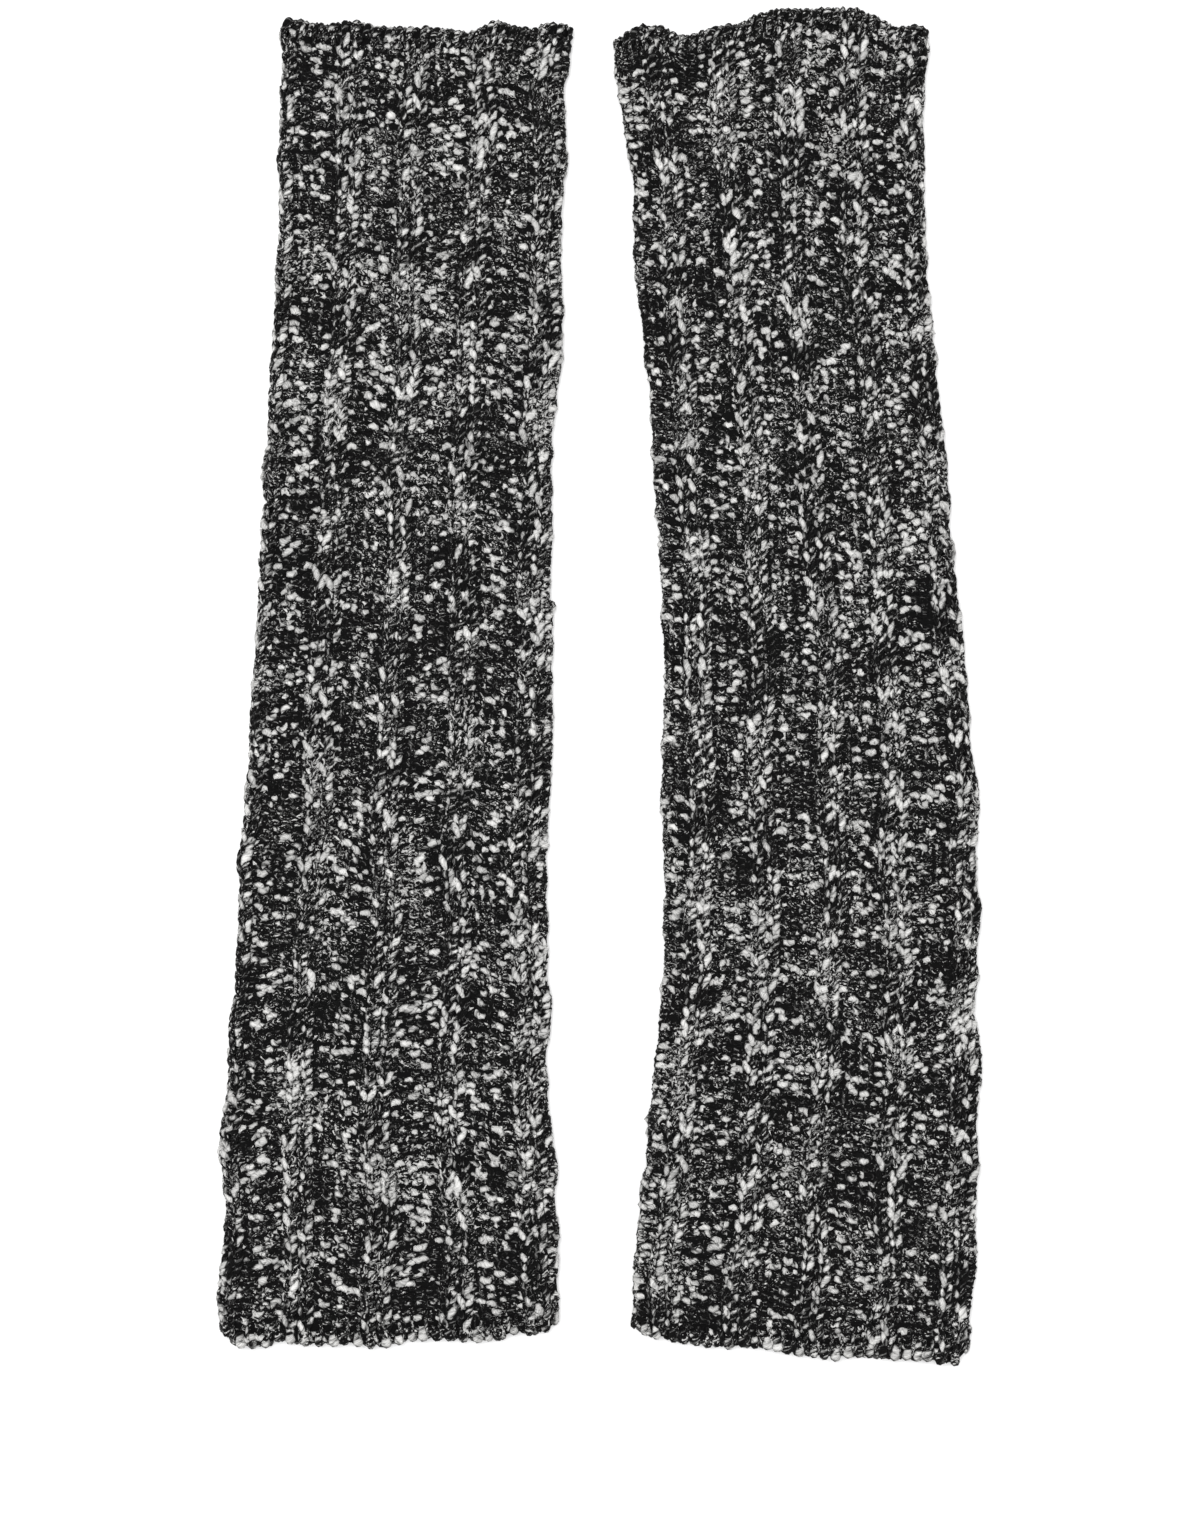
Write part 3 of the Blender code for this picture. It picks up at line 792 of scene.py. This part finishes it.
class Nodes:
    """Short-hand for wiring a material's nodes."""

    def __init__(self, name):
        self.material = bpy.data.materials.new(name)
        self.material.use_nodes = True
        self.tree = self.material.node_tree
        self.shader = self.tree.nodes["Principled BSDF"]

    def add(self, kind, inputs=None, **settings):
        """Add a node with these settings and inputs."""
        node = self.tree.nodes.new(kind)
        for key, value in settings.items():
            setattr(node, key, value)
        for key, value in (inputs or {}).items():
            self.feed(node.inputs[key], value)
        return node

    def feed(self, socket, value):
        """Link a socket to another, or give it a constant."""
        if isinstance(value, bpy.types.NodeSocket):
            self.tree.links.new(value, socket)
        else:
            socket.default_value = value

    def math(self, operation, first, second=0.0):
        """Return the result of one sum."""
        node = self.add("ShaderNodeMath", {0: first, 1: second}, operation=operation)
        return node.outputs[0]

    def total(self, first, second):
        """Return first + second."""
        return self.math("ADD", first, second)

    def times(self, first, second):
        """Return first * second."""
        return self.math("MULTIPLY", first, second)

    def less(self, first, second):
        """Return first - second."""
        return self.math("SUBTRACT", first, second)

    def from_middle(self, turn):
        """Return how far a number of turns is from the middle of its turn, 0 to 0.5."""
        return self.math("ABSOLUTE", self.less(self.math("FRACT", turn), 0.5))

    def ramp(self, value, low, high):
        """Return 0 below low and 1 above high, with a smooth step between."""
        node = self.add("ShaderNodeMapRange", {"Value": value, "From Min": low, "From Max": high},
                        interpolation_type="SMOOTHSTEP")
        return node.outputs["Result"]

    def mix(self, share, first, second):
        """Return the first colour at 0 and the second at 1."""
        node = self.add("ShaderNodeMix", data_type="RGBA")
        self.feed(node.inputs["Factor"], share)
        self.feed(node.inputs["A"], first)
        self.feed(node.inputs["B"], second)
        return node.outputs["Result"]

    def noise(self, vector, scale, detail=2.0, roughness=0.5):
        """Return noise between 0 and 1."""
        node = self.add("ShaderNodeTexNoise", {"Vector": vector, "Scale": scale,
                                               "Detail": detail, "Roughness": roughness})
        return node.outputs["Fac"]

    def finish(self, colour, relief, depth, specular):
        """Wire up a dull rough surface of this colour and relief."""
        self.feed(self.shader.inputs["Base Color"], colour)
        self.shader.inputs["Roughness"].default_value = 0.95
        self.shader.inputs["Specular IOR Level"].default_value = specular
        bump = self.add("ShaderNodeBump", {"Height": relief, "Strength": 0.6, "Distance": depth})
        self.feed(self.shader.inputs["Normal"], bump.outputs["Normal"])


def rgba(colour):
    """Return a colour with full alpha."""
    return (*colour, 1.0)


class YarnNodes(Nodes):
    """Nodes of the marl: its place on the yarn, its shares, and the noises they share."""

    def __init__(self, name):
        super().__init__(name)
        place = self.add("ShaderNodeUVMap", uv_map="Yarn")
        split = self.add("ShaderNodeSeparateXYZ", {0: place.outputs["UV"]})
        self.along, self.around = split.outputs["X"], split.outputs["Y"]
        marl = self.add("ShaderNodeVertexColor", layer_name="marl")
        shares = self.add("ShaderNodeSeparateColor", {"Color": marl.outputs["Color"]})
        self.white, self.speck, self.tone = (shares.outputs[key] for key in ("Red", "Green", "Blue"))
        self.twist = self.total(self.around, self.math("DIVIDE", self.along, PLY_PITCH))
        self.fibre = self.on_round(self.twist, FIBRE_STRETCH)
        self.body = self.on_round(self.around, 1.0)
        self.hair = self.noise(self.fibre, 2.4, 3.0, 0.6)
        self.wobble = self.less(self.noise(self.body, 0.3, 1.0), 0.5)
        self.drift = self.less(self.noise(self.body, 0.9, 1.0), 0.5)

    def on_round(self, turn, stretch):
        """Return a place on a cylinder, so that noise read there has no seam."""
        angle = self.times(turn, TURN)
        return self.add("ShaderNodeCombineXYZ", {
            "X": self.times(self.along, stretch),
            "Y": self.math("COSINE", angle),
            "Z": self.math("SINE", angle)}).outputs[0]

    def thread(self, thread):
        """Return 1 on a thread wound round the yarn, and 0 off it."""
        phase = self.total(self.times(self.around, thread.hand),
                           self.math("DIVIDE", self.along, thread.pitch))
        phase = self.total(phase, self.times(self.wobble, thread.wander))
        return self.ramp(self.from_middle(phase), thread.half_width + THREAD_EDGE,
                         thread.half_width - THREAD_EDGE)

    def take(self, value, share, strength):
        """Return a value less this strength of it where share is 1."""
        return self.times(value, self.less(1.0, self.times(share, strength)))

    def roving(self):
        """Return where the roving shows: a share of the round, most of it where it swells, darkened down
        the yarn's sides by painted shade.
        """
        ragged = self.times(self.less(self.noise(self.fibre, 2.0, 3.0), 0.5), 0.6)
        cover = self.total(self.times(self.white, 0.8), ragged)
        roving = self.ramp(self.less(cover, self.from_middle(self.twist)), *ROVING_SHOWS)
        binder = self.times(self.thread(BLACK_BINDER), self.ramp(self.drift, *BINDER_SHOWS))
        roving = self.take(roving, binder, BINDER_STRENGTH)
        # Painted shade: down its sides, away from the face that looks out, the roving is darkened, with a
        # little random wander.
        aside = self.less(0.5, self.from_middle(self.around))
        side_shade = self.ramp(self.total(aside, self.times(self.drift, 0.25)), *SIDE_SHADE_SHOWS)
        return self.take(roving, side_shade, SIDE_SHADE_STRENGTH)

    def thin_white(self):
        """Return the thin white thread, which comes and goes, and the roving's specks."""
        shown = self.ramp(self.total(self.drift, self.times(self.speck, 0.35)), *WHITE_SHOWS)
        curl = self.times(self.thread(WHITE_THREAD), shown)
        dots = self.noise(self.body, 1.4, 2.0, 0.6)
        edge = self.less(0.695, self.times(self.speck, 0.15))
        specks = self.ramp(dots, edge, self.total(edge, 0.06))
        return self.times(self.math("MAXIMUM", curl, specks), self.total(0.5, self.hair))


def yarn_material(name):
    """Black thread, a thin white thread curling round it, and slubs of off-white roving."""
    n = YarnNodes(name)
    streak = n.ramp(n.hair, *LIGHT_STREAKS)
    shade = n.total(n.times(streak, 0.6), n.times(n.tone, 0.5))
    light = n.mix(shade, rgba(GREY), rgba(OFF_WHITE))
    dark = n.mix(n.ramp(n.hair, *DARK_STREAKS), rgba(BLACK), rgba(CHARCOAL))
    shown = n.math("MAXIMUM", n.roving(), n.thin_white())
    relief = n.total(n.hair, n.times(shown, 0.7))
    n.finish(n.mix(shown, dark, light), relief, depth=0.4 * MM, specular=0.04)
    n.shader.inputs["Sheen Weight"].default_value = 0.03
    n.shader.inputs["Sheen Roughness"].default_value = 0.5
    return n.material


def ground_material(name):
    """The dark inside of the cloth, with specks of the roving."""
    n = Nodes(name)
    where = n.add("ShaderNodeTexCoord").outputs["Object"]
    grain = n.noise(where, 900.0, 3.0, 0.6)
    specks = n.ramp(grain, *GROUND_SPECKS)
    colour = n.mix(n.times(specks, 0.35), rgba(BLACK), rgba(GREY))
    n.finish(colour, grain, depth=0.5 * MM, specular=0.1)
    return n.material


def floor_material(name):
    """White paper with a very faint mottle."""
    n = Nodes(name)
    where = n.add("ShaderNodeTexCoord").outputs["Object"]
    dark, light = (rgba((shade, shade, shade)) for shade in FLOOR_SHADES)
    n.feed(n.shader.inputs["Base Color"], n.mix(n.noise(where, 3.0), dark, light))
    n.shader.inputs["Roughness"].default_value = 0.9
    n.shader.inputs["Specular IOR Level"].default_value = 0.1
    return n.material


# ==== Camera, floor and light =================================================

def build_camera():
    """Look straight down, with the pair a little above the middle of the picture."""
    low, high = (np.array(corner) for corner in CAD_BOUNDS)
    middle, length = (low + high) / 2.0, high[1] - low[1]
    data = bpy.data.cameras.new("camera")
    data.lens = LENS
    data.sensor_width = SENSOR
    data.clip_end = CLIP_END
    camera = bpy.data.objects.new("camera", data)
    distance = VIEW_HEIGHT * length * LENS / SENSOR
    camera.location = (middle[0], middle[1] - VIEW_DROP * length, distance)
    bpy.context.scene.collection.objects.link(camera)
    bpy.context.scene.camera = camera


def build_floor():
    """Lay the floor just under the warmers."""
    bpy.ops.mesh.primitive_plane_add(size=FLOOR_SIDE, location=(0.0, 0.0, -FLOOR_DROP))
    floor = bpy.context.object
    floor.name = "floor"
    floor.data.materials.append(floor_material("floor"))


def build_light():
    """Light the pair with one softbox and a white room."""
    data = bpy.data.lights.new("key", "AREA")
    data.shape = "SQUARE"
    data.size = KEY_SIZE
    data.energy = KEY_POWER
    light = bpy.data.objects.new("key", data)
    light.location = KEY_PLACE
    light.rotation_euler = (-light.location).to_track_quat("-Z", "Y").to_euler()
    bpy.context.scene.collection.objects.link(light)
    world = bpy.data.worlds.new("studio")
    bpy.context.scene.world = world
    world.use_nodes = True
    background = world.node_tree.nodes["Background"]
    background.inputs["Color"].default_value = (1.0, 1.0, 1.0, 1.0)
    background.inputs["Strength"].default_value = WORLD_LIGHT
    bpy.context.scene.view_settings.view_transform = "Standard"


# ==== The pair ================================================================

def build_warmer(knit, yarn, ground):
    """Build one warmer: its loops, its edgings, its pill if it has one, and its ground shell."""
    sleeve = Sleeve(knit, np.random.default_rng(knit.seed + 20))
    pieces = build_knit(sleeve, knit.seed, yarn)
    layouts = [(end, kind) for end, strands in EDGINGS.items() for kind in strands]
    for offset, (end, kind) in enumerate(layouts):
        pieces.append(build_edging(sleeve, end, kind, knit.seed + 10 + offset, yarn))
    if knit.side == PILL_SIDE:
        pieces.append(build_pill(sleeve, PILL_Y, yarn))
    shell = build_ground(sleeve, ground)


build_camera()
build_floor()
build_light()
YARN = yarn_material("marl_yarn")
GROUND = ground_material("marl_ground")
for warmer in WARMERS:
    build_warmer(warmer, YARN, GROUND)
